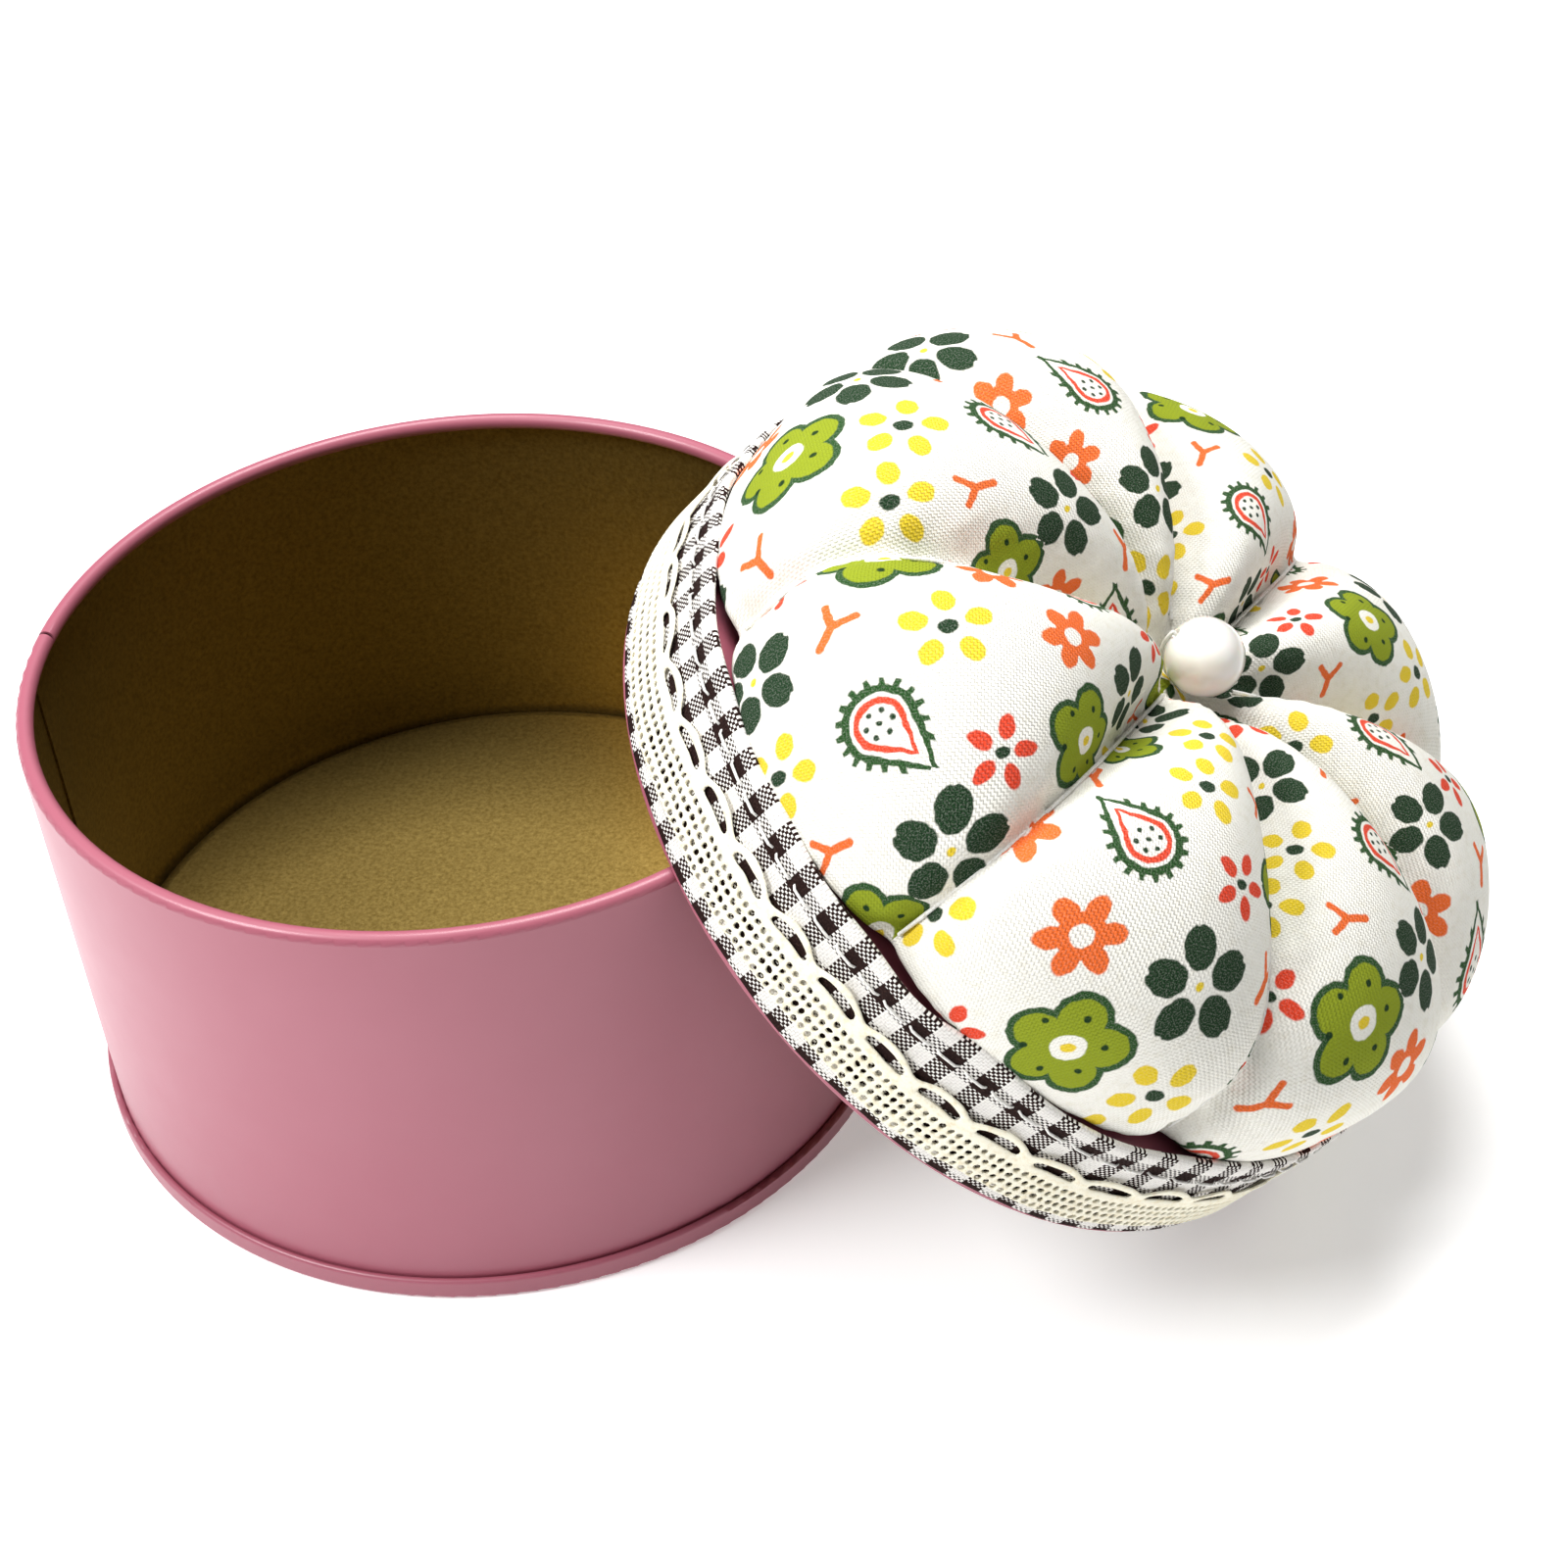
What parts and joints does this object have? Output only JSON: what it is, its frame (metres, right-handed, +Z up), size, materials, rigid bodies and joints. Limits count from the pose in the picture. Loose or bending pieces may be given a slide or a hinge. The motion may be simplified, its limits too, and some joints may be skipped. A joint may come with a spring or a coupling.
{
  "type": "pin cushion",
  "caption": "Round tin box with a press-on lid that carries a lobed, stuffed cushion for pins, with a bead at its middle and a trimmed edge.",
  "frame": {"origin": "centre of the tin's base, on the surface it stands on", "axes": "+Z up; +X from the tin towards the leaning lid"},
  "size_m": [0.1548, 0.0926, 0.0831],
  "materials": {
    "pink_tinplate": "satin",
    "gingham_cotton": "matte",
    "cotton_lace": "matte",
    "white_thread": "satin",
    "printed_cotton": "matte",
    "polyester_fibre": "matte",
    "hot_melt_glue": "satin",
    "pearl": "gloss"
  },
  "bodies": {
    "tin": {"tin_wall": "pink_tinplate", "tin_bottom": "pink_tinplate"},
    "lid": {"lid_shell": "pink_tinplate", "band_glue": "hot_melt_glue", "gingham_band": "gingham_cotton", "lace_trim": "cotton_lace", "band_stitches": "white_thread", "cushion_glue": "hot_melt_glue", "cushion_cover": "printed_cotton", "cushion_filling": "polyester_fibre", "gathering_thread": "white_thread", "lobe_threads": "white_thread", "pearl_bead": "pearl", "bead_thread": "white_thread"}
  },
  "joints": [
    {"name": "lid_lift", "type": "slide", "parent": "tin", "child": "lid", "axis": [0.6547, 0, 0.7559], "range_m": [0, 0.06]}
  ]
}
